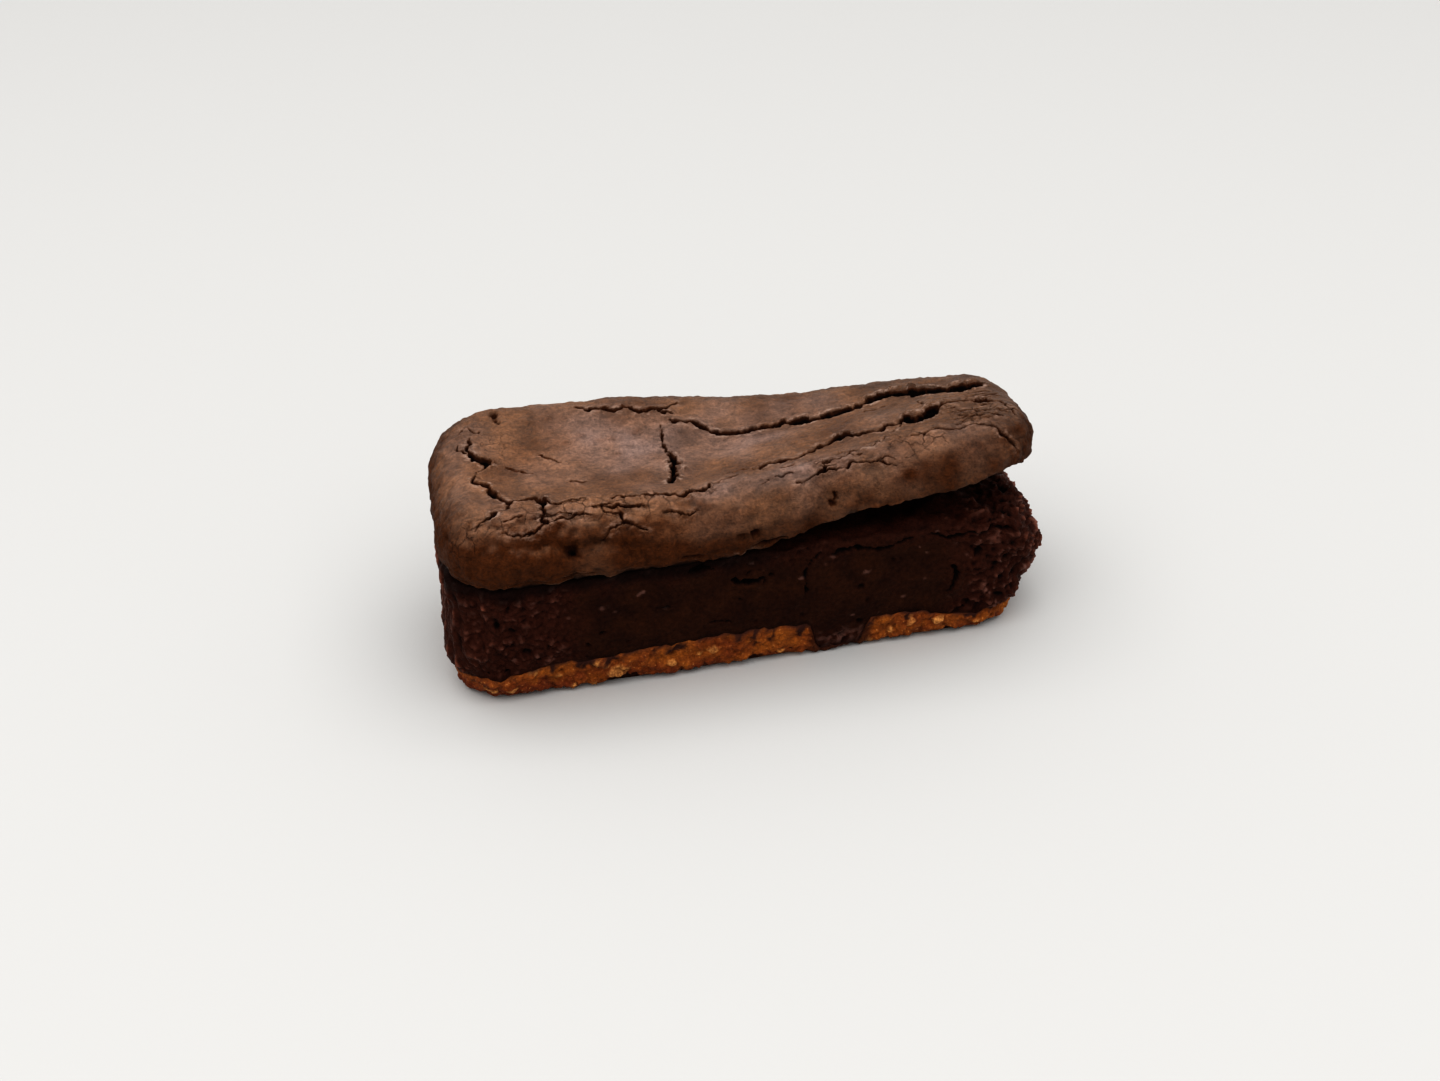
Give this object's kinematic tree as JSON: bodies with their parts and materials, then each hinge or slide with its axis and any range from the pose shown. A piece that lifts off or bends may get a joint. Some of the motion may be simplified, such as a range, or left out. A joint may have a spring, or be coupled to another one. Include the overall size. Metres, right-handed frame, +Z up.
{
  "type": "chocolate brownie",
  "caption": "Chocolate brownie bar: dense cocoa crumb on a biscuit base, under a risen, sagged and cracked cap that has split off and lifts at one end.",
  "frame": {"origin": "on the surface it stands on, under the middle of the bar's bounding box", "axes": "+Z up, +X along the bar towards the end where the cap lifts, -Y the front with the open seam"},
  "size_m": [0.1068, 0.0464, 0.0417],
  "materials": {
    "biscuit": "baked golden biscuit crumb, dry and rough",
    "crumb": "dark moist cocoa crumb with a dull sheen",
    "crust": "thin baked cocoa skin, satin, paler where it is dry"
  },
  "bodies": {
    "root": {"biscuit_base": "biscuit", "brownie_crumb": "crumb", "risen_cap": "crust"}
  },
  "joints": []
}
